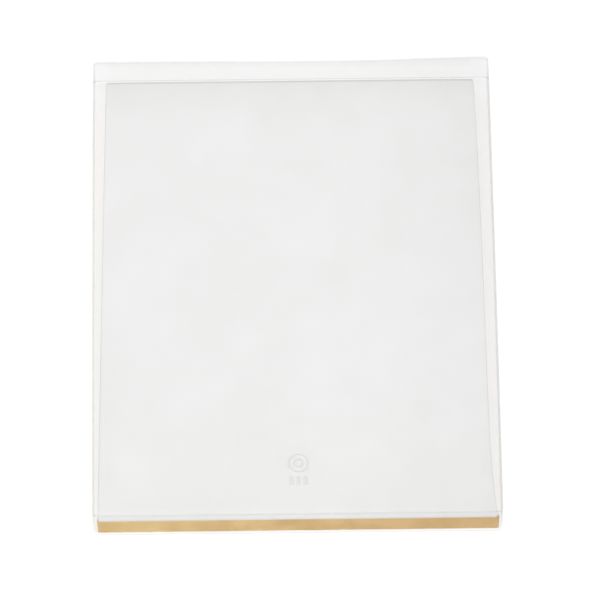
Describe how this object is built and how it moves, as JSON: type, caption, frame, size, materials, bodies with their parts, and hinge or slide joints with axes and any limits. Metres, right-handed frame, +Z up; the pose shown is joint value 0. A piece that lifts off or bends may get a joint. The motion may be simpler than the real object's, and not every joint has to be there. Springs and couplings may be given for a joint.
{
  "type": "wet palette",
  "caption": "Flat wet palette: clear tray with a damp sponge and a pack of white palette sheets under a clear telescoping lid.",
  "frame": {"origin": "centre of the tray's base, on the surface it stands on", "axes": "+Z up through the lid, +Y along the length away from the edge where the sponge fills the tray, +X to the right"},
  "size_m": [0.1988, 0.25, 0.024],
  "materials": {
    "clear_pet": "clear, smooth",
    "sponge": "matte, porous",
    "palette_paper": "matte"
  },
  "bodies": {
    "tray": {"tray": "clear_pet"},
    "sponge": {"sponge": "sponge"},
    "spare_sheets": {"palette_sheet_01": "palette_paper", "palette_sheet_02": "palette_paper", "palette_sheet_03": "palette_paper", "palette_sheet_04": "palette_paper", "palette_sheet_05": "palette_paper", "palette_sheet_06": "palette_paper", "palette_sheet_07": "palette_paper", "palette_sheet_08": "palette_paper", "palette_sheet_09": "palette_paper"},
    "top_sheet": {"palette_sheet_10": "palette_paper"},
    "lid": {"lid": "clear_pet"}
  },
  "joints": [
    {"name": "sponge_lift", "type": "slide", "parent": "tray", "child": "sponge", "axis": [0, 0, 1], "range_m": [0, 0.03]},
    {"name": "spare_sheets_lift", "type": "slide", "parent": "sponge", "child": "spare_sheets", "axis": [0, 0, 1], "range_m": [0, 0.03]},
    {"name": "top_sheet_lift", "type": "slide", "parent": "spare_sheets", "child": "top_sheet", "axis": [0, 0, 1], "range_m": [0, 0.03]},
    {"name": "lid_lift", "type": "slide", "parent": "top_sheet", "child": "lid", "axis": [0, 0, 1], "range_m": [0, 0.04]}
  ]
}
